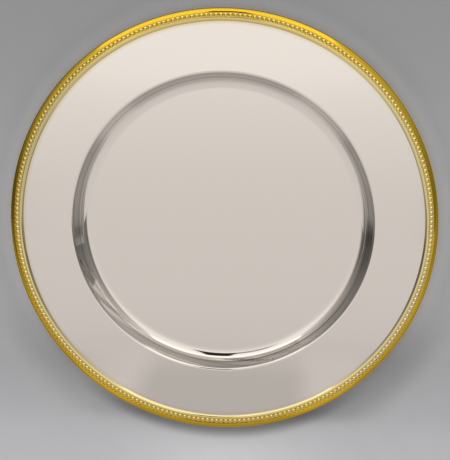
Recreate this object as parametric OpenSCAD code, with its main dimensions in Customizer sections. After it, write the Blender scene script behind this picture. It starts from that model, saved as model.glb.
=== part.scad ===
// Round charger plate, lying on the underside of its well.
// A spun sheet carries a moulded border with a row of beads, and a wire stiffens the hemmed edge.

/* [Plate] */
// Diameter over the outer band
plate_d = 330; // [300:1:360]
// Thickness of the spun sheet
sheet_t = 1.1; // [0.8:0.1:1.5]
// How far the marly falls towards the edge, in degrees
marly_fall = 1.7; // [0:0.1:3]

/* [Well] */
// Diameter of the well's mouth, where its lip meets the marly
well_mouth_d = 236; // [200:1:260]
// Depth of the well below its mouth
well_depth = 10.8; // [8:0.1:16]
// Steepest slope of the well's wall, in degrees
wall_angle = 54; // [45:1:65]
// Radius of the convex lip at the mouth
lip_r = 3; // [2.5:0.1:4]
// Radius of the tight curve at the foot of the wall
wall_foot_r = 4.5; // [3:0.1:7]
// Radius of the wide sweep from the floor towards the wall
floor_sweep_r = 14; // [9:0.5:20]
// Slope at which the wide sweep gives way to the tight curve, in degrees
sweep_angle = 25; // [15:1:35]

/* [Border moulding] */
// Width of the inner rail, from its foot to the beads' channel
rail_w = 3.05; // [2.6:0.05:3.6]
// Thickness of the moulding's metal
moulding_t = 0.5; // [0.4:0.05:0.7]
// Slope of the inner rail where it leaves the marly, in degrees
rail_foot_angle = 50; // [45:1:60]
// Length of the inner rail's straight foot
rail_foot_l = 0.45; // [0.35:0.05:0.7]
// Radius of the inner rail's crown
rail_r = 3; // [2.6:0.1:3.6]
// Room across the outer band beyond what the wire takes
band_play = 0.75; // [0.6:0.05:1]
// Room over the wire under the outer band's crest
band_cover = 0.85; // [0.7:0.05:1.1]
// How far inside the beads' channel the band's crown is centred
band_lead = 0.8; // [0.5:0.1:1.2]
// How far the wire lies inside the edge beyond its clearance
hem_play = 0.4; // [0.3:0.05:0.6]
// Height of the band's widest line over the hem's inner face
hem_lift = 0.25; // [0.15:0.05:0.4]
// Width of the hem's flat part under the sheet
hem_w = 4.4; // [2.5:0.1:6]

/* [Beads] */
// Diameter of one bead
bead_d = 3.4; // [2.6:0.1:4]
// Radius of a bead's domed top
bead_dome_r = 2.3; // [2:0.1:4]
// Gap from one bead to the next
bead_space = 0.25; // [0.15:0.05:1]
// Height of the beads' tops over the channel's floor
bead_rise = 1.3; // [1.1:0.1:1.6]
// Thickness of the solder under the beads' channel
bed_t = 0.2; // [0.15:0.05:0.4]
// Clearance between the beads and the channel's sides
bead_gap = 0.1; // [0.05:0.05:0.2]
// How far the strip's edges lie inside the beads' sides
strip_inset = 0.3; // [0.1:0.05:0.6]
// Thickness of the strip that joins the beads
strip_t = 0.4; // [0.3:0.05:0.5]

/* [Edge wire and solder] */
// Diameter of the wire inside the hemmed edge
wire_d = 1.6; // [1:0.1:2]
// Clearance between the wire, the hem and the sheet's cut edge
wire_gap = 0.1; // [0.05:0.05:0.2]
// Width of the solder fillet behind the hem
seam_w = 0.9; // [0.5:0.1:1.2]

/* [Hidden] */

// Steps in each curve of an outline, and round the plate
curve_steps = 12;
$fn = 180;

silver = [0.83, 0.81, 0.78];
gilt = [0.88, 0.68, 0.22];
brass_wire = [0.72, 0.60, 0.36];
solder_grey = [0.55, 0.55, 0.56];

plate_r = plate_d / 2;

// The well's mouth, and the curves below it from the lip down to the floor
mouth = [well_mouth_d / 2, sheet_t + well_depth];
lip_c = mouth - lip_r * [sin(marly_fall), cos(marly_fall)];
wall_top = lip_c + lip_r * [-sin(wall_angle), cos(wall_angle)];
sweep_c_z = sheet_t + floor_sweep_r;
wall_foot_c_z = sweep_c_z - (floor_sweep_r - wall_foot_r) * cos(sweep_angle);
wall_bottom_z = wall_foot_c_z - wall_foot_r * cos(wall_angle);
wall_bottom_r = wall_top[0] - (wall_top[1] - wall_bottom_z) / tan(wall_angle);
wall_foot_c = [wall_bottom_r - wall_foot_r * sin(wall_angle), wall_foot_c_z];
sweep_c = [wall_foot_c[0] - (floor_sweep_r - wall_foot_r) * sin(sweep_angle), sweep_c_z];

// The sheet's vertical thickness out on the marly, which falls towards the edge
sheet_rise = sheet_t / cos(marly_fall);

// The hem's turn round the wire, in from the edge
hem_turn = moulding_t + wire_gap + wire_d / 2 + hem_play;
hem_drop = moulding_t + hem_lift;
hem_r = plate_r - hem_turn;
hem_end_r = hem_r - hem_w;
sheet_edge_r = hem_r - wire_d / 2 - wire_gap;

// The beads' channel, inside the band that covers the wire
channel_out_r = plate_r - wire_d - 2 * (moulding_t + wire_gap) - band_play;
bead_ring_r = channel_out_r - bead_gap - bead_d / 2;
channel_in_r = bead_ring_r - bead_d / 2 - bead_gap;
channel_z = marly_z(bead_ring_r) + bed_t + moulding_t;
bead_count = round(2 * PI * bead_ring_r / (bead_d + bead_space));
band_c = [channel_out_r - band_lead, hem_z(hem_r, moulding_t) + hem_lift];
band_w = plate_r - band_c[0];
band_rise = wire_gap + wire_d + band_cover + moulding_t - hem_lift;

// The inner rail, from its foot on the marly
foot_r = channel_in_r - rail_w;
rail_start = [foot_r, marly_z(foot_r)] + rail_foot_l * [cos(rail_foot_angle), sin(rail_foot_angle)];
rail_c = rail_start + rail_r * [sin(rail_foot_angle), -cos(rail_foot_angle)];

// How deep the beads sink into their strip
bead_sink_share = 0.5;

// Height of the marly's upper face at a radius
function marly_z(r) = mouth[1] - (r - mouth[0]) * tan(marly_fall);

// Height of the hem at a radius: its lower face, or its upper one when inset by its thickness
function hem_z(r, inset) = marly_z(r) - sheet_rise - moulding_t + inset;

// Hollow curve and crown between two slopes
function hollow(centre, r, from, to) =
    [for (i = [0:curve_steps]) let (a = from + (to - from) * i / curve_steps)
        centre + r * [sin(a), -cos(a)]];
function crown(centre, r, from, to) =
    [for (i = [0:curve_steps]) let (a = from + (to - from) * i / curve_steps)
        centre + r * [-sin(a), cos(a)]];

// Part of an ellipse, clockwise from its top
function oval(centre, half_w, half_h, from, to) =
    [for (i = [0:curve_steps]) let (a = from + (to - from) * i / curve_steps)
        centre + [half_w * sin(a), half_h * cos(a)]];

function backwards(points) = [for (i = [len(points) - 1:-1:0]) points[i]];

// One face of the sheet, at a depth below its upper face
function sheet_face(depth) = concat(
    [[0, sheet_t - depth]],
    hollow(sweep_c, floor_sweep_r + depth, 0, sweep_angle),
    hollow(wall_foot_c, wall_foot_r + depth, sweep_angle, wall_angle),
    crown(lip_c, lip_r - depth, wall_angle, -marly_fall),
    [[sheet_edge_r, marly_z(sheet_edge_r) - depth / cos(marly_fall)]]
);

// The inner rail from its foot to the channel, on the face at an inset from the outside
function rail_face(inset) = concat(
    [let (r = foot_r + inset / sin(rail_foot_angle + marly_fall) * cos(marly_fall)) [r, marly_z(r)]],
    crown(rail_c, rail_r - inset, rail_foot_angle,
        asin((rail_c[0] - channel_in_r + inset) / (rail_r - inset))),
    [
        [channel_in_r - inset, channel_z - inset],
        [channel_out_r + inset, channel_z - inset]
    ]
);

// The outer band from the channel round the edge to the hem's end
function band_face(inset) = concat(
    oval(band_c, band_w - inset, band_rise - inset, asin((band_lead + inset) / (band_w - inset)), 90),
    oval([hem_r, band_c[1]], hem_turn - inset, hem_drop - inset, 90, 180),
    [[hem_end_r, hem_z(hem_end_r, inset)]]
);

// Floor, wall and marly in one spun sheet
module plate_body() {
    color(silver)
    rotate_extrude()
    polygon(concat(sheet_face(0), backwards(sheet_face(sheet_t))));
}

// Inner rail, bead channel, outer band and hem in one rolled strip
module border_moulding() {
    color(gilt)
    rotate_extrude()
    polygon(concat(
        rail_face(0), band_face(0),
        backwards(band_face(moulding_t)), backwards(rail_face(moulding_t))
    ));
}

// One bead over the channel's floor: a low dome on a straight side that sinks into the strip
module bead() {
    sunk_z = bead_sink_share * strip_t;
    rotate_extrude($fn = 32)
    intersection() {
        translate([0, bead_rise - bead_dome_r])
        circle(r = bead_dome_r);
        translate([0, sunk_z])
        square([bead_d / 2, bead_rise]);
    }
}

// The ring of beads on the strip that lies in the channel
module bead_strip() {
    strip_w = bead_d - 2 * strip_inset;
    color(gilt)
    union() {
        rotate_extrude()
        translate([bead_ring_r - strip_w / 2, channel_z])
        square([strip_w, strip_t]);
        for (i = [0:bead_count - 1])
            rotate([0, 0, 360 * i / bead_count])
            translate([bead_ring_r, 0, channel_z])
            bead();
    }
}

// Stiffening wire inside the hemmed edge
module edge_wire() {
    color(brass_wire)
    rotate_extrude()
    translate([hem_r, hem_z(hem_r, moulding_t) + wire_gap + wire_d / 2])
    circle(d = wire_d, $fn = 32);
}

// Solder that fills the hollow between the moulding and the marly
module border_solder() {
    last_r = sheet_edge_r - wire_gap;
    color(solder_grey)
    rotate_extrude()
    polygon(concat(rail_face(moulding_t), [[last_r, marly_z(last_r)]]));
}

// Solder fillet between the hem's end and the underside of the marly
module hem_solder() {
    inner_r = hem_end_r - seam_w;
    color(solder_grey)
    rotate_extrude()
    polygon([
        [inner_r, hem_z(inner_r, moulding_t)],
        [hem_end_r, hem_z(hem_end_r, 0)],
        [hem_end_r, hem_z(hem_end_r, moulding_t)]
    ]);
}

plate_body();
border_moulding();
bead_strip();
edge_wire();
border_solder();
hem_solder();
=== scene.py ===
"""Dresses a round charger plate: a polished sheet with a gilt border and a row of beads."""

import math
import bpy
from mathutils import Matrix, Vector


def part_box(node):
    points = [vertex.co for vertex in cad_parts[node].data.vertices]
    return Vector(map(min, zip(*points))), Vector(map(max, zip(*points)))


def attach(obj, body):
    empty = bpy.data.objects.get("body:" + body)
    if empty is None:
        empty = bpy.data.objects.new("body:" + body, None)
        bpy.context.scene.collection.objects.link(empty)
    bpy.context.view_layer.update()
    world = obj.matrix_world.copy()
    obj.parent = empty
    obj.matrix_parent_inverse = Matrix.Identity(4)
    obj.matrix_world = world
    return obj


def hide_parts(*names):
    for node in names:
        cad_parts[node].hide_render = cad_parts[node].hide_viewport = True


bl_info = {
    "name": "Charger Plate",
    "version": (1, 0, 0),
    "blender": (4, 5, 0),
    "location": "View3D > Sidebar > Charger Plate",
    "description": "Builds a polished charger plate with a gilt beaded border",
    "category": "Add Mesh",
}

import bpy
from bpy.props import FloatProperty, FloatVectorProperty, IntProperty, PointerProperty
from mathutils import Matrix, Vector

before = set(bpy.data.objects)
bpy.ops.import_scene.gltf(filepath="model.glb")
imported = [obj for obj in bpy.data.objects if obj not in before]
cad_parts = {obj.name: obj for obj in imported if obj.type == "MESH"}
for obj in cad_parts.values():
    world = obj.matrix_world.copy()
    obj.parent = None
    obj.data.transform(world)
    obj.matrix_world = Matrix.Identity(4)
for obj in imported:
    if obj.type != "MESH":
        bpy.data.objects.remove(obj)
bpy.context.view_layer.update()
EDGE_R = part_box("border_moulding")[1].x


def length(name, default, description):
    """A size in metres."""
    return FloatProperty(
        name=name, description=description, default=default,
        min=0, precision=5, unit="LENGTH", subtype="DISTANCE",
    )


def angle(name, degrees, description):
    """An angle, given here in degrees."""
    return FloatProperty(
        name=name, description=description, default=math.radians(degrees), subtype="ANGLE"
    )


def share(name, default, description):
    """A plain number from zero to one."""
    return FloatProperty(name=name, description=description, default=default, min=0, max=1, precision=4)


def whole(name, default, description, least):
    """A whole number."""
    return IntProperty(name=name, description=description, default=default, min=least)


def colour(name, default, description):
    """A linear colour."""
    return FloatVectorProperty(
        name=name, description=description, default=default, min=0, max=1, subtype="COLOR"
    )


class SheetSizes(bpy.types.PropertyGroup):
    """Sizes of the spun sheet."""

    sheet_t: length("Sheet", 0.0011, "Thickness of the spun sheet")
    marly_fall: angle("Marly fall", 1.7, "How far the marly falls towards the edge")
    mouth_r: length("Mouth", 0.118, "Radius of the well's mouth")
    well_depth: length("Well depth", 0.0108, "Depth of the well below its mouth")
    wall_angle: angle("Wall", 54, "Steepest slope of the well's wall")
    lip_r: length("Lip", 0.003, "Radius of the convex lip at the mouth")
    wall_foot_r: length("Wall foot", 0.0045, "Radius of the tight curve at the foot of the wall")
    floor_sweep_r: length("Floor sweep", 0.014, "Radius of the wide sweep from the floor to the wall")
    sweep_angle: angle("Sweep", 25, "Slope at which the sweep gives way to the tight curve")
    edge_inset: length("Cut edge", 0.0027, "Distance from the border's edge to the sheet's cut edge")


class BorderSizes(bpy.types.PropertyGroup):
    """Sizes of the gilt border moulding."""

    border_w: length("Border", 0.0102, "Width of the border from its inner foot to the edge")
    moulding_t: length("Moulding metal", 0.0005, "Thickness of the moulding's metal")
    rail_foot_angle: angle("Rail foot slope", 50, "Slope of the inner rail where it leaves the marly")
    rail_foot_l: length("Rail foot", 0.00045, "Length of the inner rail's straight foot")
    rail_r: length("Rail crown", 0.003, "Radius of the inner rail's crown")
    band_rise: length("Band rise", 0.0028, "Height of the outer band's crest over its widest line")
    band_drop: length("Band drop", 0.0011, "Depth of the band's widest line under the inner rail's foot")
    band_lead: length("Band lead", 0.0008, "How far inside the channel the band's crown is centred")
    hem_turn: length("Hem turn", 0.0018, "How far in the edge turns under")
    hem_w: length("Hem", 0.0044, "Width of the hem's flat part under the sheet")


class BeadSizes(bpy.types.PropertyGroup):
    """Sizes of the row of beads."""

    bead_d: length("Bead", 0.0034, "Diameter of one bead")
    bead_dome_r: length("Bead dome", 0.0023, "Radius of a bead's domed top")
    bead_count: whole("Beads", 275, "Number of beads round the plate", 3)
    bead_inset: length("Bead inset", 0.00535, "Distance from the edge to the beads' centres")
    bead_rise: length("Bead rise", 0.0013, "Height of the beads' tops over the channel's floor")
    channel_lift: length("Channel lift", 0.0007, "Height of the channel's floor over the marly")
    bead_gap: length("Bead gap", 0.0001, "Clearance between the beads and the channel's sides")
    strip_w: length("Strip", 0.0028, "Width of the strip that joins the beads")
    strip_t: length("Strip metal", 0.0004, "Thickness of the strip that joins the beads")


class TurningSettings(bpy.types.PropertyGroup):
    """How finely the pieces are turned."""

    round_steps: whole("Steps round", 720, "Steps in one turn", 12)
    curve_steps: whole("Curve steps", 16, "Steps in each curve of an outline", 2)
    spindle_r: length("Spindle", 0.1, "Radius of the circle that carries an outline round")
    guard: length("Guard", 0.00006, "Length of the short step that keeps a flat stretch flat")
    weld: length("Weld", 0.000002, "Distance within which points are merged")


class FinishSettings(bpy.types.PropertyGroup):
    """Colours and polish of the metals."""

    silver: colour("Silver plate", (0.925, 0.905, 0.88), "Colour of the silver plating")
    silver_rough: share("Silver roughness", 0.03, "Roughness of the polished silver plate")
    silver_marks: share("Silver marks", 0.012, "Depth of the smudges and rings in the silver's polish")
    streaks: share("Streaks", 0.44, "How much the spun rings shade the well's wall")
    # Painted shade: the wall's streaks are deeper at the foot of the plate
    foot_streaks_painted_shade: share("Foot streaks", 0.792, "How much they shade it at the foot of the plate")
    blush: colour("Gilt blush", (0.80, 0.72, 0.51), "Colour of the silver beside the gilding")
    blush_w: length("Blush width", 0.003, "How far the gilding's blush runs onto the marly")
    gilt_pale: colour("Pale gilt", (0.93, 0.83, 0.45), "Colour of the thin gilding on the inner rail")
    gilt: colour("Gilt", (0.95, 0.68, 0.08), "Colour of the gilding on the outer band")
    # Painted shade: the gilding is darker out at the edge
    gilt_painted_edge_shade: colour("Deep gilt", (0.80, 0.54, 0.03), "Colour of the gilding at the edge")
    gilt_rough: share("Gilt roughness", 0.03, "Roughness of the gilding")
    gilt_marks: share("Gilt marks", 0.03, "Depth of the smudges and rings in the gilding's polish")
    # Painted shade: the gilding on the left of the plate is darker
    left_painted_shade: share("Tarnish", 0.22, "How much the gilding on the left of the plate has darkened")
    # Painted light: the beads' flanks are paler than the gilding on their tops
    flank_gilt_painted_light: colour("Flank gilt", (0.98, 0.9, 0.43), "Colour of the gilding on the beads' flanks")
    flank_rough: share("Flank roughness", 0.4, "Roughness of the beads' flanks, out of the wheel's reach")
    bead_satin: share("Bead satin", 0.16, "Extra roughness of the beads at the plate's left and right")
    bead_marks: share("Bead marks", 0.04, "Depth of the smudges and rings on the beads")
    # Painted shade: the grooves between the beads are darker
    groove_painted_shade: share("Recess", 0.75, "How much of the colour is left in the grooves between the beads")
    wire: colour("Brass wire", (0.62, 0.47, 0.22), "Colour of the drawn brass wire")
    wire_rough: share("Wire roughness", 0.3, "Roughness of the drawn wire")
    solder: colour("Solder", (0.36, 0.36, 0.37), "Colour of the soft solder")
    solder_rough: share("Solder roughness", 0.45, "Roughness of the soft solder")


class StudioSettings(bpy.types.PropertyGroup):
    """The stage, its light and the camera."""

    floor_r: length("Floor", 12, "Radius of the floor")
    floor_tint: colour("Floor tint", (0.97, 0.972, 1), "Colour of the floor")
    ceiling_h: length("Ceiling", 1.09, "Height of the lit ceiling that the plate mirrors")
    table_y: length("Table", 0.18, "Distance from the plate's middle to the table")
    table_lean: length("Table lean", 0.02, "How far the table leans away over its length")
    table_l: length("Table length", 0.8, "Length of the table that the plate mirrors")
    card_r: length("Cards", 12, "How far the cards reach")
    warmth: colour("Room light", (1, 0.93, 0.87), "Colour of the light that the metal mirrors")


GROUPS = {
    "plate_sheet": SheetSizes,
    "plate_border": BorderSizes,
    "plate_beads": BeadSizes,
    "plate_turning": TurningSettings,
    "plate_finish": FinishSettings,
    "plate_studio": StudioSettings,
}


# Outlines

# A corner that turns by more than this stays crisp
SHARP = math.radians(20)
# How many guards long a step has to be to get one, at a sharp corner and elsewhere
CORNER_ROOM = 2
STRETCH_ROOM = 8


def marly_z(r):
    """Height of the marly's upper face at a radius."""
    s = bpy.context.scene.plate_sheet
    return s.sheet_t + s.well_depth - (r - s.mouth_r) * math.tan(s.marly_fall)


def arc(centre, r, start, end, turn, steps):
    """Points along an arc between two slopes: turn is 1 for a crown and -1 for a hollow."""
    points = []
    for i in range(steps + 1):
        a = start + (end - start) * i / steps
        points.append(centre + turn * r * Vector((-math.sin(a), math.cos(a))))
    return points


def oval(centre, half_w, half_h, start, end, steps):
    """Part of an ellipse, clockwise from its top."""
    points = []
    for i in range(steps + 1):
        a = start + (end - start) * i / steps
        points.append(centre + Vector((half_w * math.sin(a), half_h * math.cos(a))))
    return points


def guarded(points, guard):
    """Adds a point beside each sharp corner and long step's end, so that smooth shading keeps them."""
    kept = []
    for i, p in enumerate(points):
        to_before = points[i - 1] - p
        to_after = points[(i + 1) % len(points)] - p
        whole_step = to_before.length > 0 and to_after.length > 0
        sharp = whole_step and (-to_before).angle(to_after) > SHARP
        shortest = guard * (CORNER_ROOM if sharp else STRETCH_ROOM)
        if to_before.length > shortest:
            kept.append(p + to_before.normalized() * guard)
        kept.append(p)
        if to_after.length > shortest:
            kept.append(p + to_after.normalized() * guard)
    return kept


def sheet_face(depth):
    """One face of the sheet, from the axis to its cut edge, at a depth below the upper face."""
    s = bpy.context.scene.plate_sheet
    steps = bpy.context.scene.plate_turning.curve_steps
    mouth = Vector((s.mouth_r, s.sheet_t + s.well_depth))
    lip_c = mouth - s.lip_r * Vector((math.sin(s.marly_fall), math.cos(s.marly_fall)))
    wall_top = lip_c + s.lip_r * Vector((-math.sin(s.wall_angle), math.cos(s.wall_angle)))
    sweep_c_z = s.sheet_t + s.floor_sweep_r
    step_in = s.floor_sweep_r - s.wall_foot_r
    wall_foot_c_z = sweep_c_z - step_in * math.cos(s.sweep_angle)
    wall_bottom_z = wall_foot_c_z - s.wall_foot_r * math.cos(s.wall_angle)
    wall_bottom_r = wall_top.x - (wall_top.y - wall_bottom_z) / math.tan(s.wall_angle)
    wall_foot_c = Vector((wall_bottom_r - s.wall_foot_r * math.sin(s.wall_angle), wall_foot_c_z))
    sweep_c = Vector((wall_foot_c.x - step_in * math.sin(s.sweep_angle), sweep_c_z))
    cut_r = EDGE_R - s.edge_inset
    return (
        [Vector((0, s.sheet_t - depth))]
        + arc(sweep_c, s.floor_sweep_r + depth, 0, s.sweep_angle, -1, steps)
        + arc(wall_foot_c, s.wall_foot_r + depth, s.sweep_angle, s.wall_angle, -1, steps)[1:]
        + arc(lip_c, s.lip_r - depth, s.wall_angle, -s.marly_fall, 1, steps)
        + [Vector((cut_r, marly_z(cut_r) - depth / math.cos(s.marly_fall)))]
    )


def channel():
    """Inner radius, outer radius and floor of the channel that holds the beads."""
    b = bpy.context.scene.plate_beads
    ring_r = EDGE_R - b.bead_inset
    side = b.bead_d / 2 + b.bead_gap
    return ring_r - side, ring_r + side, marly_z(ring_r) + b.channel_lift


def rail_face(inset):
    """The inner rail from its foot to the channel, at an inset from the outside."""
    m = bpy.context.scene.plate_border
    fall = bpy.context.scene.plate_sheet.marly_fall
    steps = bpy.context.scene.plate_turning.curve_steps
    inner_r, outer_r, floor_z = channel()
    a = m.rail_foot_angle
    foot_r = EDGE_R - m.border_w
    start = Vector((foot_r, marly_z(foot_r))) + m.rail_foot_l * Vector((math.cos(a), math.sin(a)))
    centre = start + m.rail_r * Vector((math.sin(a), -math.cos(a)))
    toe_r = foot_r + inset / math.sin(a + fall) * math.cos(fall)
    end = math.asin((centre.x - inner_r + inset) / (m.rail_r - inset))
    return (
        [Vector((toe_r, marly_z(toe_r)))]
        + arc(centre, m.rail_r - inset, a, end, 1, steps)
        + [Vector((inner_r - inset, floor_z - inset)), Vector((outer_r + inset, floor_z - inset))]
    )


def band_face(inset):
    """The outer band from the channel round the edge to the hem's end, at an inset from the outside."""
    m = bpy.context.scene.plate_border
    s = bpy.context.scene.plate_sheet
    steps = bpy.context.scene.plate_turning.curve_steps
    centre = Vector((channel()[1] - m.band_lead, marly_z(EDGE_R - m.border_w) - m.band_drop))
    band_w = EDGE_R - centre.x
    hem_r = EDGE_R - m.hem_turn
    end_r = hem_r - m.hem_w
    under = s.sheet_t / math.cos(s.marly_fall) + m.moulding_t
    drop = centre.y - marly_z(hem_r) + under
    start = math.asin((m.band_lead + inset) / (band_w - inset))
    quarter = math.pi / 2
    turn_c = Vector((hem_r, centre.y))
    return (
        oval(centre, band_w - inset, m.band_rise - inset, start, quarter, steps)
        + oval(turn_c, m.hem_turn - inset, drop - inset, quarter, 2 * quarter, steps)[1:]
        + [Vector((end_r, marly_z(end_r) - under + inset))]
    )


# Nodes

# The colour mixer's sockets, behind those for numbers and for vectors
MIX_FIRST = 6
MIX_SECOND = 7
MIX_RESULT = 2


def math_node(tree, operation, *operands, clamp=False):
    """A math node; each operand is a number or a socket."""
    node = tree.nodes.new("ShaderNodeMath")
    node.operation = operation
    node.use_clamp = clamp
    for socket, operand in zip(node.inputs, operands):
        if isinstance(operand, bpy.types.NodeSocket):
            tree.links.new(operand, socket)
        else:
            socket.default_value = operand
    return node.outputs[0]


def product_node(tree, first, *others):
    """The product of numbers and sockets."""
    product = first
    for other in others:
        product = math_node(tree, "MULTIPLY", product, other)
    return product


def mix_node(tree, factor, first, second):
    """The first value where the factor is zero, and the second where it is one."""
    change = product_node(tree, factor, math_node(tree, "SUBTRACT", second, first))
    return math_node(tree, "ADD", first, change)


def gain_node(tree, level, amount, gain):
    """A level that gains a share of itself where the amount is one."""
    return product_node(tree, level, math_node(tree, "MULTIPLY_ADD", amount, gain, 1))


def step_node(tree, value, start, end, low=0, high=1):
    """A smooth step from low at start to high at end."""
    node = tree.nodes.new("ShaderNodeMapRange")
    node.interpolation_type = "SMOOTHSTEP"
    tree.links.new(value, node.inputs["Value"])
    if start > end:
        start, end, low, high = end, start, high, low
    node.inputs["From Min"].default_value = start
    node.inputs["From Max"].default_value = end
    node.inputs["To Min"].default_value = low
    node.inputs["To Max"].default_value = high
    return node.outputs["Result"]


def span_node(tree, value, begin, full, fade, end):
    """A soft stretch: it begins, is full up to where it fades, and ends."""
    return product_node(tree, step_node(tree, value, begin, full), step_node(tree, value, end, fade))


def curve_node(tree, value, points):
    """A smooth curve through points of value and level."""
    low = points[0][0]
    reach = points[-1][0] - low
    node = tree.nodes.new("ShaderNodeFloatCurve")
    across = math_node(tree, "DIVIDE", math_node(tree, "SUBTRACT", value, low), reach, clamp=True)
    tree.links.new(across, node.inputs["Value"])
    curve = node.mapping.curves[0]
    spots = [((v - low) / reach, level) for v, level in points]
    curve.points[0].location = spots[0]
    curve.points[1].location = spots[-1]
    for spot in spots[1:-1]:
        curve.points.new(*spot)
    for point in curve.points:
        point.handle_type = "AUTO_CLAMPED"
    node.mapping.update()
    return node.outputs["Value"]


def noise_node(tree, place, scale, detail=3.0):
    """Soft noise from zero to one."""
    node = tree.nodes.new("ShaderNodeTexNoise")
    node.inputs["Scale"].default_value = scale
    node.inputs["Detail"].default_value = detail
    tree.links.new(place, node.inputs["Vector"])
    return node.outputs["Fac"]


def tint_node(tree, factor, first, second):
    """Mixes two colours; each is a colour or a socket."""
    node = tree.nodes.new("ShaderNodeMix")
    node.data_type = "RGBA"
    tree.links.new(factor, node.inputs["Factor"])
    for socket, operand in ((node.inputs[MIX_FIRST], first), (node.inputs[MIX_SECOND], second)):
        if isinstance(operand, bpy.types.NodeSocket):
            tree.links.new(operand, socket)
        else:
            socket.default_value = (*operand, 1)
    return node.outputs[MIX_RESULT]


def split_place(tree, place):
    """The three coordinates of a place."""
    split = tree.nodes.new("ShaderNodeSeparateXYZ")
    tree.links.new(place, split.inputs["Vector"])
    return split.outputs


def square_node(tree, x, y):
    """The square of the distance from the plate's axis."""
    return math_node(tree, "ADD", product_node(tree, x, x), product_node(tree, y, y))


def radius_node(tree, x, y):
    """The distance from the plate's axis."""
    return math_node(tree, "SQRT", square_node(tree, x, y))


def slant_node(tree, x, y, x_share, y_share, shift=0):
    """A slanting distance, made of shares of x and y and a shift."""
    rest = math_node(tree, "MULTIPLY_ADD", y, y_share, shift)
    return math_node(tree, "MULTIPLY_ADD", x, x_share, rest)


# Pieces from outlines

# A bead is bent from a ball. The ring under the ball's widest line becomes the foot of the bead's side,
# and what lies lower is cut away. Both lines are shares of the ball's radius.
BALL_STEPS = 12
BALL_RINGS = 8
FOOT_LINE = -0.1
CUT_LINE = -0.4
# Keeps the ball's poles from a division by zero
LEAST_R = 0.000001

WHOLE = "NodeSocketInt"
SIZE = "NodeSocketFloat"
TURNING_INPUTS = {
    "Steps round": WHOLE,
    "Spindle radius": SIZE,
    "Weld distance": SIZE,
    "Finish": "NodeSocketMaterial",
}
BEAD_INPUTS = {
    "Beads": WHOLE,
    "Ring radius": SIZE,
    "Floor height": SIZE,
    "Bead diameter": SIZE,
    "Dome radius": SIZE,
    "Bead rise": SIZE,
    "Sunk height": SIZE,
}
ENDING_NODES = ("GeometryNodeSetShadeSmooth", "GeometryNodeRealizeInstances", "GeometryNodeSetMaterial")


def new_tree(name, inputs):
    """A geometry tree that takes an outline and named inputs, and gives a piece."""
    tree = bpy.data.node_groups.new(name, "GeometryNodeTree")
    tree.interface.new_socket("Outline", in_out="INPUT", socket_type="NodeSocketGeometry")
    for label, kind in inputs.items():
        tree.interface.new_socket(label, in_out="INPUT", socket_type=kind)
    tree.interface.new_socket("Piece", in_out="OUTPUT", socket_type="NodeSocketGeometry")
    return tree, tree.nodes.new("NodeGroupInput"), tree.nodes.new("NodeGroupOutput")


def turned(tree, given):
    """Nodes that carry the outline round the axis and close its poles and its seam."""
    link = tree.links.new
    line = tree.nodes.new("GeometryNodeMeshToCurve")
    circle = tree.nodes.new("GeometryNodeCurvePrimitiveCircle")
    sweep = tree.nodes.new("GeometryNodeCurveToMesh")
    weld = tree.nodes.new("GeometryNodeMergeByDistance")
    link(given.outputs["Outline"], line.inputs["Mesh"])
    link(given.outputs["Steps round"], circle.inputs["Resolution"])
    link(given.outputs["Spindle radius"], circle.inputs["Radius"])
    link(circle.outputs["Curve"], sweep.inputs["Curve"])
    link(line.outputs["Curve"], sweep.inputs["Profile Curve"])
    link(sweep.outputs["Mesh"], weld.inputs["Geometry"])
    link(given.outputs["Weld distance"], weld.inputs["Distance"])
    return weld.outputs["Geometry"]


def finished(tree, geometry, given, out):
    """Nodes that shade smooth, set the finish and end the tree."""
    for kind in ENDING_NODES:
        node = tree.nodes.new(kind)
        tree.links.new(geometry, node.inputs["Geometry"])
        geometry = node.outputs["Geometry"]
    tree.links.new(given.outputs["Finish"], node.inputs["Material"])
    tree.links.new(geometry, out.inputs["Piece"])


def turning_tree():
    """Turns an outline into a round piece."""
    tree, given, out = new_tree("Turned Piece", TURNING_INPUTS)
    finished(tree, turned(tree, given), given, out)
    return tree


def bead_shape(tree, given):
    """Nodes that bend a ball into one bead: a low dome on a straight side."""
    link = tree.links.new
    ball_r = math_node(tree, "MULTIPLY", given.outputs["Bead diameter"], 0.5)
    ball = tree.nodes.new("GeometryNodeMeshUVSphere")
    ball.inputs["Segments"].default_value = BALL_STEPS
    ball.inputs["Rings"].default_value = BALL_RINGS
    link(ball_r, ball.inputs["Radius"])
    place = tree.nodes.new("GeometryNodeInputPosition")
    x, y, z = split_place(tree, place.outputs["Position"])
    low = math_node(tree, "LESS_THAN", z, product_node(tree, ball_r, FOOT_LINE))
    dome_r = given.outputs["Dome radius"]
    rise = math_node(tree, "SUBTRACT", product_node(tree, dome_r, dome_r), square_node(tree, x, y))
    centre = math_node(tree, "SUBTRACT", given.outputs["Bead rise"], dome_r)
    dome = math_node(tree, "ADD", math_node(tree, "SQRT", rise), centre)
    height = mix_node(tree, low, dome, given.outputs["Sunk height"])
    r = math_node(tree, "MAXIMUM", radius_node(tree, x, y), LEAST_R)
    spread = mix_node(tree, low, 1, math_node(tree, "DIVIDE", ball_r, r))
    bent = tree.nodes.new("ShaderNodeCombineXYZ")
    link(product_node(tree, x, spread), bent.inputs["X"])
    link(product_node(tree, y, spread), bent.inputs["Y"])
    link(height, bent.inputs["Z"])
    cut = tree.nodes.new("GeometryNodeDeleteGeometry")
    shape = tree.nodes.new("GeometryNodeSetPosition")
    lowest = math_node(tree, "LESS_THAN", z, product_node(tree, ball_r, CUT_LINE))
    link(ball.outputs["Mesh"], cut.inputs["Geometry"])
    link(lowest, cut.inputs["Selection"])
    link(cut.outputs["Geometry"], shape.inputs["Geometry"])
    link(bent.outputs["Vector"], shape.inputs["Position"])
    return shape.outputs["Geometry"]


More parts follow.
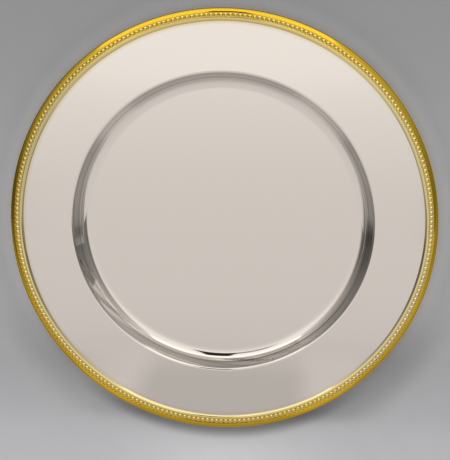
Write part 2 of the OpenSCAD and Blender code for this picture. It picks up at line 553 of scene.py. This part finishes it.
def bead_tree():
    """Turns the strip and sets the beads on it, each sunk a little way in."""
    tree, given, out = new_tree("Bead Row", {**TURNING_INPUTS, **BEAD_INPUTS})
    link = tree.links.new
    ring = tree.nodes.new("GeometryNodeMeshCircle")
    lift = tree.nodes.new("ShaderNodeCombineXYZ")
    raised = tree.nodes.new("GeometryNodeTransform")
    ring_place = tree.nodes.new("GeometryNodeInputPosition")
    aim = tree.nodes.new("FunctionNodeAlignRotationToVector")
    aim.axis = "X"
    aim.pivot_axis = "Z"
    row = tree.nodes.new("GeometryNodeInstanceOnPoints")
    both = tree.nodes.new("GeometryNodeJoinGeometry")
    link(given.outputs["Beads"], ring.inputs["Vertices"])
    link(given.outputs["Ring radius"], ring.inputs["Radius"])
    link(given.outputs["Floor height"], lift.inputs["Z"])
    link(ring.outputs["Mesh"], raised.inputs["Geometry"])
    link(lift.outputs["Vector"], raised.inputs["Translation"])
    link(ring_place.outputs["Position"], aim.inputs["Vector"])
    link(raised.outputs["Geometry"], row.inputs["Points"])
    link(bead_shape(tree, given), row.inputs["Instance"])
    link(aim.outputs["Rotation"], row.inputs["Rotation"])
    link(turned(tree, given), both.inputs["Geometry"])
    link(row.outputs["Instances"], both.inputs["Geometry"])
    finished(tree, both.outputs["Geometry"], given, out)
    return tree


def turned_piece(name, points, tree, finish, sizes=None):
    """A plain mesh made by a tree from a closed outline of radii and heights."""
    t = bpy.context.scene.plate_turning
    points = guarded(points, t.guard)
    corners = [(p.x - t.spindle_r, -p.y, 0) for p in points]
    edges = [(i, (i + 1) % len(corners)) for i in range(len(corners))]
    outline = bpy.data.meshes.new(name)
    outline.from_pydata(corners, edges, [])
    piece = bpy.data.objects.new(name, outline)
    bpy.context.scene.collection.objects.link(piece)
    maker = piece.modifiers.new("Maker", "NODES")
    maker.node_group = tree
    values = {
        "Steps round": t.round_steps,
        "Spindle radius": t.spindle_r,
        "Weld distance": t.weld,
        "Finish": finish,
        **(sizes or {}),
    }
    for item in tree.interface.items_tree:
        if item.item_type == "SOCKET" and item.in_out == "INPUT" and item.name in values:
            maker[item.identifier] = values[item.name]
    shown = piece.evaluated_get(bpy.context.evaluated_depsgraph_get())
    mesh = bpy.data.meshes.new_from_object(shown)
    mesh.name = name
    piece.modifiers.clear()
    piece.data = mesh
    return piece


# Materials

# What the last word of a name says of its numbers
# STEP: start and end of a soft step, and its values there if they aren't zero and one
# SPAN: where a soft stretch begins, is full, fades and ends
# SLANT: shares of x and y, and a shift, that make a slanting distance
# SCALE: patches of noise on a metre
BLACK = (0, 0, 0)
WHITE = (1, 1, 1)

# The wheel's rings, in radians to the metre, are this share as deep as its smudges
WHEEL_RINGS = 14000
RING_SHARE = 0.25
SMUDGE_SCALE = 22
SMUDGE_STEP = (0.45, 0.75)

# The blush beside the border comes in patches, weaker to the right and to the foot
BLUSH_SCALE = 12
BLUSH_PATCH_STEP = (0.2, 0.8, 0.6, 1)
BLUSH_X_STEP = (0.14, 0.02, 0.2, 1)
BLUSH_Y_STEP = (0, 0.14, 0.6, 1)

# The streaked part of the well's wall, outwards from its mouth, and where painted shade makes its streaks
# deep
WALL_SPAN = (-0.0077, -0.0067, -0.0022, -0.0012)
STREAK_SCALE = 1100
STREAK_STEP = (0.38, 0.62)
PAINTED_SHADE_FOOT_SLANT = (0.5, -1)
PAINTED_SHADE_FOOT_STEP = (0.088, 0.12)

# At the head and foot of the plate the gilding is as rich as it is this much further out
RICH_STEP = (0.08, 0.15, 0, 0.002)
UNEVEN_SCALE = 160
UNEVEN_W = 0.001
# Where its colours change: inside the channel, outside it, and the darker painted shade beyond it and the
# edge
PALE_INSET = 0.001
GILT_OUTSET = 0.0005
PAINTED_SHADE_OUTSET = 0.001
# The left side of the plate, where painted shade darkens the gilding
PAINTED_SHADE_LEFT_SLANT = (-1, 0.5)
PAINTED_SHADE_LEFT_STEP = (0.14, 0.178)

# The beads' gilding is thin at the lower right of the plate, and satin at its left and right
THIN_SLANT = (1, -0.6)
THIN_STEP = (0.155, 0.18, 0, 0.6)
SATIN_STEP = (0.07, 0.03)
# Heights of a bead's worn top, of the painted shade at the groove's foot, and of the top that is fully
# polished
WORN_H = 0.0005
PAINTED_GROOVE_SHADE_H = 0.00015
POLISHED_H = 0.0001

# Mottles and pits of the unpolished metals
WIRE_SCALE = 900
SOLDER_SCALE = 500
MOTTLE_DETAIL = 6
MOTTLE_SHADE = 0.6
MOTTLE_STEP = (0.2, 0.8)
MOTTLE_ROUGH = 0.2
PIT_STRENGTH = 0.3
PIT_DEPTH = 0.0001


def own_node(tree, kind):
    """The node of a kind that a new tree already has."""
    return next(node for node in tree.nodes if node.type == kind)


def new_material(name):
    """A node material with its principled shader and its object coordinates."""
    material = bpy.data.materials.new(name)
    material.use_nodes = True
    tree = material.node_tree
    place = tree.nodes.new("ShaderNodeTexCoord")
    return material, tree, own_node(tree, "BSDF_PRINCIPLED"), place.outputs["Object"]


def new_metal(name):
    """A node material that is all metal."""
    material, tree, shader, place = new_material(name)
    shader.inputs["Metallic"].default_value = 1
    return material, tree, shader, place


def set_surface(tree, surface):
    """Ends a material in a surface of its own."""
    tree.links.new(surface, own_node(tree, "OUTPUT_MATERIAL").inputs["Surface"])


def set_polish(tree, shader, place, rough, marks):
    """Sets the roughness, with smudges and fine rings left by the polishing wheel."""
    x, y, _ = split_place(tree, place)
    rings = math_node(tree, "SINE", product_node(tree, radius_node(tree, x, y), WHEEL_RINGS))
    smudge = step_node(tree, noise_node(tree, place, SMUDGE_SCALE), *SMUDGE_STEP, 0, marks)
    worked = math_node(tree, "MULTIPLY_ADD", rings, marks * RING_SHARE, smudge)
    tree.links.new(math_node(tree, "ADD", worked, rough), shader.inputs["Roughness"])


def wall_streaks_and_painted_shade(tree, x, y):
    """Darkening of the well's wall: fine rings that the spinning tool left, with painted shade that
    deepens them at the foot of the plate; zero elsewhere.
    """
    mouth_r = bpy.context.scene.plate_sheet.mouth_r
    f = bpy.context.scene.plate_finish
    r = radius_node(tree, x, y)
    wall = span_node(tree, r, *(mouth_r + d for d in WALL_SPAN))
    along = tree.nodes.new("ShaderNodeCombineXYZ")
    tree.links.new(r, along.inputs["X"])
    rings = step_node(tree, noise_node(tree, along.outputs["Vector"], STREAK_SCALE), *STREAK_STEP)
    # Painted shade: the streaks are deeper at the foot of the plate
    depth = step_node(tree, slant_node(tree, x, y, *PAINTED_SHADE_FOOT_SLANT), *PAINTED_SHADE_FOOT_STEP, f.streaks, f.foot_streaks_painted_shade)
    return product_node(tree, wall, rings, depth)


def silver_plate():
    """Mirror-polished silver plate, with a blush of gilding beside the border and streaks with painted
    shade on the well's wall.
    """
    f = bpy.context.scene.plate_finish
    foot_r = EDGE_R - bpy.context.scene.plate_border.border_w
    material, tree, shader, place = new_metal("mirror_silver")
    x, y, _ = split_place(tree, place)
    blush = product_node(
        tree,
        step_node(tree, radius_node(tree, x, y), foot_r - f.blush_w, foot_r),
        step_node(tree, noise_node(tree, place, BLUSH_SCALE), *BLUSH_PATCH_STEP),
        step_node(tree, x, *BLUSH_X_STEP),
        step_node(tree, y, *BLUSH_Y_STEP),
    )
    tone = tint_node(tree, blush, f.silver, f.blush)
    tone = tint_node(tree, wall_streaks_and_painted_shade(tree, x, y), tone, BLACK)
    tree.links.new(tone, shader.inputs["Base Color"])
    set_polish(tree, shader, place, f.silver_rough, f.silver_marks)
    return material


def left_painted_shade(tree, x, y):
    """How much painted shade darkens the gilding on the left of the plate."""
    dark = bpy.context.scene.plate_finish.left_painted_shade
    return step_node(tree, slant_node(tree, x, y, *PAINTED_SHADE_LEFT_SLANT), *PAINTED_SHADE_LEFT_STEP, 0, dark)


def gilt_colour(tree, place):
    """Colour of the gilding: pale on the rail, rich on the band, with painted shade at the edge and on
    the left.
    """
    f = bpy.context.scene.plate_finish
    inner_r, outer_r, _ = channel()
    x, y, _ = split_place(tree, place)
    richer = step_node(tree, math_node(tree, "ABSOLUTE", y), *RICH_STEP)
    r = math_node(tree, "ADD", radius_node(tree, x, y), richer)
    uneven = math_node(tree, "SUBTRACT", noise_node(tree, place, UNEVEN_SCALE), 0.5)
    r = math_node(tree, "MULTIPLY_ADD", uneven, UNEVEN_W, r)
    rich = step_node(tree, r, inner_r - PALE_INSET, outer_r + GILT_OUTSET)
    # Painted shade: darker gilding out to the edge
    painted_deep_shade = step_node(tree, r, outer_r + PAINTED_SHADE_OUTSET, EDGE_R + PAINTED_SHADE_OUTSET)
    tone = tint_node(tree, rich, f.gilt_pale, f.gilt)
    tone = tint_node(tree, painted_deep_shade, tone, f.gilt_painted_edge_shade)
    # Painted shade on the left of the plate
    return tint_node(tree, left_painted_shade(tree, x, y), tone, BLACK)


def gilding():
    """Polished gilding of the moulding."""
    f = bpy.context.scene.plate_finish
    material, tree, shader, place = new_metal("burnished_gilt")
    tree.links.new(gilt_colour(tree, place), shader.inputs["Base Color"])
    set_polish(tree, shader, place, f.gilt_rough, f.gilt_marks)
    return material


def bead_gilding():
    """Gilding of the beads: polished on their tops, satin on their flanks with painted light that makes
    them pale, and painted shade between them.
    """
    f = bpy.context.scene.plate_finish
    b = bpy.context.scene.plate_beads
    strip_z = channel()[2] + b.strip_t
    top_z = channel()[2] + b.bead_rise
    material, tree, shader, place = new_metal("beaded_gilt")
    x, y, z = split_place(tree, place)
    thin = step_node(tree, slant_node(tree, x, y, *THIN_SLANT), *THIN_STEP)
    # Painted light: the flanks are paler
    painted_light_flank = tint_node(tree, thin, f.flank_gilt_painted_light, f.silver)
    painted_light_flank = tint_node(tree, left_painted_shade(tree, x, y), painted_light_flank, BLACK)
    worn = step_node(tree, z, top_z - WORN_H, top_z)
    tone = tint_node(tree, worn, painted_light_flank, gilt_colour(tree, place))
    # Painted shade in the grooves between the beads
    painted_groove_tone = [c * f.groove_painted_shade for c in f.gilt]
    above_painted_groove_shade = step_node(tree, z, strip_z, strip_z + PAINTED_GROOVE_SHADE_H)
    tree.links.new(tint_node(tree, above_painted_groove_shade, painted_groove_tone, tone), shader.inputs["Base Color"])
    rough = step_node(tree, z, strip_z, top_z - POLISHED_H, f.flank_rough, f.gilt_rough)
    satin = step_node(tree, math_node(tree, "ABSOLUTE", y), *SATIN_STEP, 0, f.bead_satin)
    set_polish(tree, shader, place, math_node(tree, "ADD", rough, satin), f.bead_marks)
    return material


def dull_metal(name, tone, rough, scale):
    """Unpolished metal, mottled and slightly pitted."""
    material, tree, shader, place = new_metal(name)
    mottle = noise_node(tree, place, scale, MOTTLE_DETAIL)
    shade = [c * MOTTLE_SHADE for c in tone]
    tree.links.new(tint_node(tree, mottle, shade, tone), shader.inputs["Base Color"])
    worked = step_node(tree, mottle, *MOTTLE_STEP, rough, rough + MOTTLE_ROUGH)
    tree.links.new(worked, shader.inputs["Roughness"])
    bump = tree.nodes.new("ShaderNodeBump")
    bump.inputs["Strength"].default_value = PIT_STRENGTH
    bump.inputs["Distance"].default_value = PIT_DEPTH
    tree.links.new(mottle, bump.inputs["Height"])
    tree.links.new(bump.outputs["Normal"], shader.inputs["Normal"])
    return material


def drawn_wire():
    """Dull brass of the drawn wire."""
    f = bpy.context.scene.plate_finish
    return dull_metal("dull_brass", f.wire, f.wire_rough, WIRE_SCALE)


def soft_solder():
    """Dull soft solder."""
    f = bpy.context.scene.plate_finish
    return dull_metal("dull_solder", f.solder, f.solder_rough, SOLDER_SCALE)


def kept_material(name, make):
    """The material of that name, made once."""
    return bpy.data.materials.get(name) or make()


# Pieces


class PLATE_OT_sheet(bpy.types.Operator):
    """Turns the polished sheet"""

    bl_idname = "plate.sheet"
    bl_label = "Plate Body"

    def execute(self, context):
        outline = sheet_face(0) + sheet_face(context.scene.plate_sheet.sheet_t)[::-1]
        metal = kept_material("mirror_silver", silver_plate)
        piece = turned_piece("polished_plate", outline, turning_tree(), metal)
        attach(piece, "root")
        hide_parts("plate_body")
        return {"FINISHED"}


class PLATE_OT_border(bpy.types.Operator):
    """Turns the gilt moulding"""

    bl_idname = "plate.border"
    bl_label = "Border Moulding"

    def execute(self, context):
        inset = context.scene.plate_border.moulding_t
        outline = rail_face(0) + band_face(0) + band_face(inset)[::-1] + rail_face(inset)[::-1]
        metal = kept_material("burnished_gilt", gilding)
        piece = turned_piece("gilt_moulding", outline, turning_tree(), metal)
        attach(piece, "root")
        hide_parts("border_moulding")
        return {"FINISHED"}


class PLATE_OT_beads(bpy.types.Operator):
    """Sets the row of gilt beads in its channel"""

    bl_idname = "plate.beads"
    bl_label = "Bead Strip"

    def execute(self, context):
        b = context.scene.plate_beads
        ring_r = EDGE_R - b.bead_inset
        floor_z = channel()[2]
        strip_z = floor_z + b.strip_t
        half_w = b.strip_w / 2
        corners = ((-1, strip_z), (1, strip_z), (1, floor_z), (-1, floor_z))
        strip = [Vector((ring_r + side * half_w, z)) for side, z in corners]
        sizes = {
            "Beads": b.bead_count,
            "Ring radius": ring_r,
            "Floor height": floor_z,
            "Bead diameter": b.bead_d,
            "Dome radius": b.bead_dome_r,
            "Bead rise": b.bead_rise,
            "Sunk height": b.strip_t / 2,
        }
        metal = kept_material("beaded_gilt", bead_gilding)
        piece = turned_piece("gilt_beads", strip, bead_tree(), metal, sizes)
        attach(piece, "root")
        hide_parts("bead_strip")
        return {"FINISHED"}


class PLATE_OT_wire_and_solder(bpy.types.Operator):
    """Gives the hidden wire and the solder their finish"""

    bl_idname = "plate.wire_and_solder"
    bl_label = "Wire And Solder"

    def execute(self, context):
        for node, name, make in (
            ("edge_wire", "dull_brass", drawn_wire),
            ("border_solder", "dull_solder", soft_solder),
            ("hem_solder", "dull_solder", soft_solder),
        ):
            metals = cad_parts[node].data.materials
            metals.clear()
            metals.append(kept_material(name, make))
        return {"FINISHED"}


# Stage

# The camera as fitted to the rim and the beads: its place, two directions, lens and sight
CAMERA_EYE = (0.08404, 0.23367, 1.09915)
CAMERA_RIGHT = (0.99717, 0, -0.07512)
CAMERA_BACK = (0.07339, 0.21361, 0.97416)
LENS_MM = 113.61
SENSOR_MM = 36
SIGHT = 100

# Levels overhead, by the angle from straight up towards the head of the picture, and a brighter stretch
OVERHEAD_LEVELS = [
    (-35, 0.62), (-20, 0.64), (-10, 0.67), (-5, 0.72), (0, 0.79), (5, 0.89), (13, 0.9), (22, 1), (31, 1),
    (40, 0.95), (56, 0.9), (70, 0.85), (78, 0.7), (84, 0.45), (90, 0.3),
]
BRIGHT_SPAN = (27, 40, 62, 75)
BRIGHT_GAIN = 0.3

# The room by direction: low down it is dark at the sides and lighter at the head, and grey below
ROOM_LOW_STEP = (0.3, 0.15)
ROOM_HEAD_STEP = (0.45, 0.8)
ROOM_SIDE_STEP = (-0.5, 0.5, 0.1, 0.21)
ROOM_RISE_STEP = (-0.2, 0.1, 0.12, 0.4)
ROOM_BELOW_STEP = (-0.25, -0.6)
ROOM_BELOW_LEVEL = 0.5
PLAIN_LIGHT_STEP = (0, 0.8, 0.85, 1.25)

# The soft box's two sides, its soft edge, and its brighter rim at the head
BOX_LEFT_SLANT = (-1, -0.9, -0.18)
BOX_RIGHT_SLANT = (1, -0.6, -0.09)
BOX_EDGE_STEP = (0.07, -0.05)
RIM_STEP = (-0.4, -0.2)
RIM_HEAD_STEP = (0.35, 0.65)
RIM_LEVEL = 0.12
# Levels outside the soft box, by the distance from its side as a share of that from the middle
OUTSIDE_LEVELS = [
    (0, 0.66), (0.1, 0.6), (0.2, 0.53), (0.35, 0.43), (0.5, 0.36), (0.7, 0.26), (0.85, 0.17),
    (0.95, 0.12), (1.05, 0.1),
]
LEAST_MIDDLE_R = 0.2
FAR_RIGHT_STEP = (0.3, 0.9, 0, 0.07)
# The diffuser beside the soft box, a grey patch and a dark slot
DIFFUSER_SPAN = (-0.95, -0.4, 0.26, 0.48)
PATCH_X_SPAN = (-0.28, -0.25, -0.14, -0.12)
PATCH_Y_SPAN = (0.135, 0.145, 0.28, 0.34)
PATCH_LEVEL = 0.35
SLOT_X_SPAN = (-0.15, -0.125, 0, 0.03)
SLOT_Y_SPAN = (0.16, 0.18, 0.6, 0.7)
SLOT_LEVEL = 0.02

# Levels of the table by height along it
TABLE_LEVELS = [
    (0, 0.36), (0.05, 0.46), (0.09, 0.483), (0.165, 0.49), (0.21, 0.54), (0.27, 0.595), (0.36, 0.625),
    (0.8, 0.655),
]
# How they fall off to the sides, by x as a share of the height and SIDE_SPREAD
SIDE_SHARES = [
    (0, 1), (0.3, 1), (0.45, 0.85), (0.6, 0.5), (0.75, 0.3), (1, 0.18), (1.3, 0.24), (1.8, 0.12),
    (3, 0.18),
]
SIDE_SPREAD = 0.3
# The right is lighter, close by and far out
RIGHT_SHARE_STEP = (0, 0.3, 0, 0.4)
FAR_SHARE_STEP = (1, 1.9, 0, 0.1)
FAR_SIDE_STEP = (-0.2, 0.2)
# Low on the table the sides are lit as well
LOW_STEP = (0.26, 0.2)
LOW_SIDE_STEP = (0.1, 0.2)
LOW_SHARE_STEP = (0.1, 1.3, 0.76, 0.43)
LOW_END_STEP = (0.95, 1, 1, 0.8)
LOW_LEFT_STEP = (-0.45, -0.25, 0.95, 1.08)
# Two stretches at its foot that the plate doesn't shade
LIT_LEFT_SPAN = (-0.19, -0.15, -0.105, -0.07)
LIT_RIGHT_SPAN = (0.05, 0.08, 0.11, 0.15)
LIT_STEP = (0.28, 0.14)
LIT_GAIN = 0.26

# Painted light: levels of the floor from the foot of the picture to its head, lighter at the foot
FLOOR_LEVELS = [
    (-0.4, 0.52), (-0.185, 0.47), (-0.15, 0.4), (-0.1, 0.355), (-0.05, 0.355), (0.06, 0.335), (0.12, 0.3),
    (0.2, 0.275), (0.4, 0.26),
]
# Painted light: a pool of light at the foot of the picture, and lighter floor beside the plate's edge
POOL_X_STEP = (0.12, 0)
POOL_Y_SPAN = (-0.5, -0.25, -0.19, -0.15)
POOL_LEVEL = 0.12
PAINTED_EDGE_LIGHT_STEP = (0.015, 0)
PAINTED_EDGE_LIGHT_Y_STEP = (-0.13, -0.05)
PAINTED_EDGE_LIGHT_GAIN = 0.32
# Painted shade round the foot of the plate, deep under it and soft beside it
PAINTED_DEEP_SHADE_STEP = (0.016, 0.005)
PAINTED_DEEP_SHADE_Y_STEP = (-0.125, -0.165)
PAINTED_DEEP_SHADE_GAIN = -0.55
PAINTED_SOFT_SHADE_STEP = (0.04, 0.015)
PAINTED_SOFT_SHADE_Y_SPAN = (-0.168, -0.154, -0.12, -0.06)
PAINTED_SOFT_SHADE_GAIN_STEP = (-0.05, 0.05, -0.16, -0.28)
GRAIN_SCALE = 60
GRAIN_DETAIL = 5
GRAIN_STEP = (0.2, 0.8, 1.015, 1.045)
FLOOR_ROUGH = 0.9
FLOOR_STEPS = 96


def make_camera(scene):
    """Places the camera at the photograph's viewing angle."""
    right = Vector(CAMERA_RIGHT)
    back = Vector(CAMERA_BACK)
    up = back.cross(right).normalized()
    data = bpy.data.cameras.new("camera")
    data.lens = LENS_MM
    data.sensor_width = SENSOR_MM
    data.clip_end = SIGHT
    camera = bpy.data.objects.new("camera", data)
    scene.collection.objects.link(camera)
    aim = Matrix((right, up, back)).transposed().to_4x4()
    camera.matrix_world = Matrix.Translation(Vector(CAMERA_EYE)) @ aim
    scene.camera = camera


def overhead_level(tree, y, height):
    """Level overhead, by the angle from straight up towards the head."""
    lean = product_node(tree, math_node(tree, "ARCTAN2", y, height), math.degrees(1))
    level = curve_node(tree, lean, OVERHEAD_LEVELS)
    return gain_node(tree, level, span_node(tree, lean, *BRIGHT_SPAN), BRIGHT_GAIN)


def make_world(scene):
    """Plain soft light, and for the metal a room with a bright head and dark sides."""
    world = bpy.data.worlds.new("studio")
    world.use_nodes = True
    scene.world = world
    tree = world.node_tree
    place = tree.nodes.new("ShaderNodeTexCoord")
    x, y, z = split_place(tree, place.outputs["Generated"])
    sides = step_node(tree, x, *ROOM_SIDE_STEP)
    head = step_node(tree, z, *ROOM_RISE_STEP)
    low = mix_node(tree, step_node(tree, y, *ROOM_HEAD_STEP), sides, head)
    low = mix_node(tree, step_node(tree, z, *ROOM_BELOW_STEP), low, ROOM_BELOW_LEVEL)
    room = mix_node(tree, step_node(tree, z, *ROOM_LOW_STEP), overhead_level(tree, y, z), low)
    plain = step_node(tree, y, *PLAIN_LIGHT_STEP)
    ray = tree.nodes.new("ShaderNodeLightPath").outputs
    mirrored = math_node(tree, "ADD", ray["Is Glossy Ray"], ray["Is Transmission Ray"], clamp=True)
    light = own_node(tree, "BACKGROUND").inputs
    tree.links.new(tint_node(tree, mirrored, WHITE, scene.plate_studio.warmth), light["Color"])
    tree.links.new(mix_node(tree, mirrored, plain, room), light["Strength"])


def make_card(name, corners, paint):
    """A glowing card that only the metal mirrors; paint returns its level."""
    mesh = bpy.data.meshes.new(name)
    mesh.from_pydata(corners, [], [range(len(corners))])
    card = bpy.data.objects.new(name, mesh)
    bpy.context.scene.collection.objects.link(card)
    card.visible_camera = False
    card.visible_diffuse = False
    card.visible_shadow = False
    material, tree, shader, place = new_material(name)
    tree.nodes.remove(shader)
    glow = tree.nodes.new("ShaderNodeEmission")
    glow.inputs["Color"].default_value = (*bpy.context.scene.plate_studio.warmth, 1)
    tree.links.new(paint(tree, place), glow.inputs["Strength"])
    set_surface(tree, glow.outputs["Emission"])
    mesh.materials.append(material)


def ceiling_paint(tree, place):
    """The lit ceiling: a diffuser, a soft box that widens to the head, grey sides, a patch and a slot."""
    x, y, _ = split_place(tree, place)
    left = slant_node(tree, x, y, *BOX_LEFT_SLANT)
    right = slant_node(tree, x, y, *BOX_RIGHT_SLANT)
    side = math_node(tree, "MAXIMUM", left, right)
    inside = overhead_level(tree, y, bpy.context.scene.plate_studio.ceiling_h)
    rim = product_node(tree, step_node(tree, side, *RIM_STEP), step_node(tree, y, *RIM_HEAD_STEP))
    inside = math_node(tree, "MULTIPLY_ADD", rim, RIM_LEVEL, inside)
    middle_r = math_node(tree, "MAXIMUM", radius_node(tree, x, y), LEAST_MIDDLE_R)
    outside = curve_node(tree, math_node(tree, "DIVIDE", side, middle_r), OUTSIDE_LEVELS)
    outside = math_node(tree, "ADD", outside, step_node(tree, x, *FAR_RIGHT_STEP))
    diffuser = span_node(tree, x, *DIFFUSER_SPAN)
    lit = math_node(tree, "MAXIMUM", diffuser, step_node(tree, side, *BOX_EDGE_STEP))
    level = mix_node(tree, lit, outside, inside)
    patch = product_node(tree, span_node(tree, x, *PATCH_X_SPAN), span_node(tree, y, *PATCH_Y_SPAN))
    level = mix_node(tree, patch, level, PATCH_LEVEL)
    slot = product_node(tree, span_node(tree, x, *SLOT_X_SPAN), span_node(tree, y, *SLOT_Y_SPAN))
    return mix_node(tree, slot, level, SLOT_LEVEL)


def table_paint(tree, place):
    """The table below the plate in the picture: shaded by it, and darker out to the sides."""
    x, _, z = split_place(tree, place)
    side = math_node(tree, "ABSOLUTE", x)
    out = math_node(tree, "DIVIDE", side, math_node(tree, "ADD", z, SIDE_SPREAD))
    fall = curve_node(tree, out, SIDE_SHARES)
    fall = math_node(tree, "MAXIMUM", fall, step_node(tree, x, *RIGHT_SHARE_STEP))
    far = product_node(tree, step_node(tree, out, *FAR_SHARE_STEP), step_node(tree, x, *FAR_SIDE_STEP))
    fall = math_node(tree, "ADD", fall, far)
    low = product_node(
        tree,
        step_node(tree, side, *LOW_SHARE_STEP),
        step_node(tree, side, *LOW_END_STEP),
        step_node(tree, x, *LOW_LEFT_STEP),
    )
    low = mix_node(tree, step_node(tree, side, *LOW_SIDE_STEP), fall, low)
    fall = mix_node(tree, step_node(tree, z, *LOW_STEP), fall, low)
    left = span_node(tree, x, *LIT_LEFT_SPAN)
    right = span_node(tree, x, *LIT_RIGHT_SPAN)
    lit = product_node(tree, math_node(tree, "ADD", left, right), step_node(tree, z, *LIT_STEP))
    level = gain_node(tree, curve_node(tree, z, TABLE_LEVELS), lit, LIT_GAIN)
    return product_node(tree, level, fall)


def make_cards(scene):
    """The ceiling, and the table below the plate in the picture."""
    s = scene.plate_studio
    w = s.card_r
    h = s.ceiling_h
    near = -s.table_y
    far = near - s.table_lean
    ceiling = [(-w, -w, h), (w, -w, h), (w, w, h), (-w, w, h)]
    table = [(-w, near, 0), (w, near, 0), (w, far, s.table_l), (-w, far, s.table_l)]
    make_card("mirrored_ceiling", ceiling, ceiling_paint)
    make_card("mirrored_table", table, table_paint)


def floor_level(tree, place):
    """Level of the floor, with painted light and shade round the plate."""
    x, y, _ = split_place(tree, place)
    out = math_node(tree, "SUBTRACT", radius_node(tree, x, y), EDGE_R)
    middle = step_node(tree, math_node(tree, "ABSOLUTE", x), *POOL_X_STEP)
    # Painted light: a pool at the foot of the picture
    painted_pool = product_node(tree, middle, span_node(tree, y, *POOL_Y_SPAN))
    level = math_node(tree, "MULTIPLY_ADD", painted_pool, POOL_LEVEL, curve_node(tree, y, FLOOR_LEVELS))
    # Painted light beside the plate's edge
    painted_edge_light = product_node(tree, step_node(tree, out, *PAINTED_EDGE_LIGHT_STEP), step_node(tree, y, *PAINTED_EDGE_LIGHT_Y_STEP))
    level = gain_node(tree, level, painted_edge_light, PAINTED_EDGE_LIGHT_GAIN)
    # Painted shade under and beside the foot of the plate
    painted_deep_shade = product_node(tree, step_node(tree, out, *PAINTED_DEEP_SHADE_STEP), step_node(tree, y, *PAINTED_DEEP_SHADE_Y_STEP))
    level = gain_node(tree, level, painted_deep_shade, PAINTED_DEEP_SHADE_GAIN)
    painted_soft_shade = product_node(tree, step_node(tree, out, *PAINTED_SOFT_SHADE_STEP), span_node(tree, y, *PAINTED_SOFT_SHADE_Y_SPAN))
    level = gain_node(tree, level, painted_soft_shade, step_node(tree, x, *PAINTED_SOFT_SHADE_GAIN_STEP))
    grain = step_node(tree, noise_node(tree, place, GRAIN_SCALE, GRAIN_DETAIL), *GRAIN_STEP)
    return product_node(tree, level, grain)


def floor_paint():
    """Pale matt paint, with painted light and shade, that is clear from below."""
    material, tree, shader, place = new_material("floor")
    tone = tint_node(tree, floor_level(tree, place), BLACK, bpy.context.scene.plate_studio.floor_tint)
    tree.links.new(tone, shader.inputs["Base Color"])
    shader.inputs["Roughness"].default_value = FLOOR_ROUGH
    clear = tree.nodes.new("ShaderNodeBsdfTransparent")
    facing = tree.nodes.new("ShaderNodeNewGeometry")
    both = tree.nodes.new("ShaderNodeMixShader")
    tree.links.new(facing.outputs["Backfacing"], both.inputs["Fac"])
    tree.links.new(shader.outputs["BSDF"], both.inputs[1])
    tree.links.new(clear.outputs["BSDF"], both.inputs[2])
    set_surface(tree, both.outputs["Shader"])
    return material


def make_floor(scene):
    """A plain round floor, which the metal doesn't mirror."""
    r = scene.plate_studio.floor_r
    angles = [2 * math.pi * i / FLOOR_STEPS for i in range(FLOOR_STEPS)]
    ring = [(r * math.cos(a), r * math.sin(a), 0) for a in angles]
    mesh = bpy.data.meshes.new("floor")
    mesh.from_pydata(ring, [], [range(FLOOR_STEPS)])
    mesh.materials.append(floor_paint())
    floor = bpy.data.objects.new("floor", mesh)
    scene.collection.objects.link(floor)
    floor.visible_glossy = False


class PLATE_OT_stage(bpy.types.Operator):
    """Sets the floor, the light and the camera"""

    bl_idname = "plate.stage"
    bl_label = "Stage"

    def execute(self, context):
        scene = context.scene
        make_camera(scene)
        make_world(scene)
        make_cards(scene)
        make_floor(scene)
        scene.view_settings.view_transform = "Standard"
        return {"FINISHED"}


OPERATORS = [PLATE_OT_sheet, PLATE_OT_border, PLATE_OT_beads, PLATE_OT_wire_and_solder, PLATE_OT_stage]


class PLATE_PT_panel(bpy.types.Panel):
    """Lists the pieces and their sizes"""

    bl_idname = "PLATE_PT_panel"
    bl_label = "Charger Plate"
    bl_space_type = "VIEW_3D"
    bl_region_type = "UI"
    bl_category = "Charger Plate"

    def draw(self, context):
        for operator in OPERATORS:
            self.layout.operator(operator.bl_idname)
        for name, group in GROUPS.items():
            box = self.layout.box()
            box.label(text=group.__doc__)
            for size in group.__annotations__:
                box.prop(getattr(context.scene, name), size)


CLASSES = [*GROUPS.values(), *OPERATORS, PLATE_PT_panel]


def register():
    for cls in CLASSES:
        bpy.utils.register_class(cls)
    for name, group in GROUPS.items():
        setattr(bpy.types.Scene, name, PointerProperty(type=group))


def unregister():
    for name in GROUPS:
        delattr(bpy.types.Scene, name)
    for cls in reversed(CLASSES):
        bpy.utils.unregister_class(cls)


def main():
    """Builds every piece and the stage."""
    register()
    bpy.ops.plate.sheet()
    bpy.ops.plate.border()
    bpy.ops.plate.beads()
    bpy.ops.plate.wire_and_solder()
    bpy.ops.plate.stage()


if __name__ == "__main__":
    main()
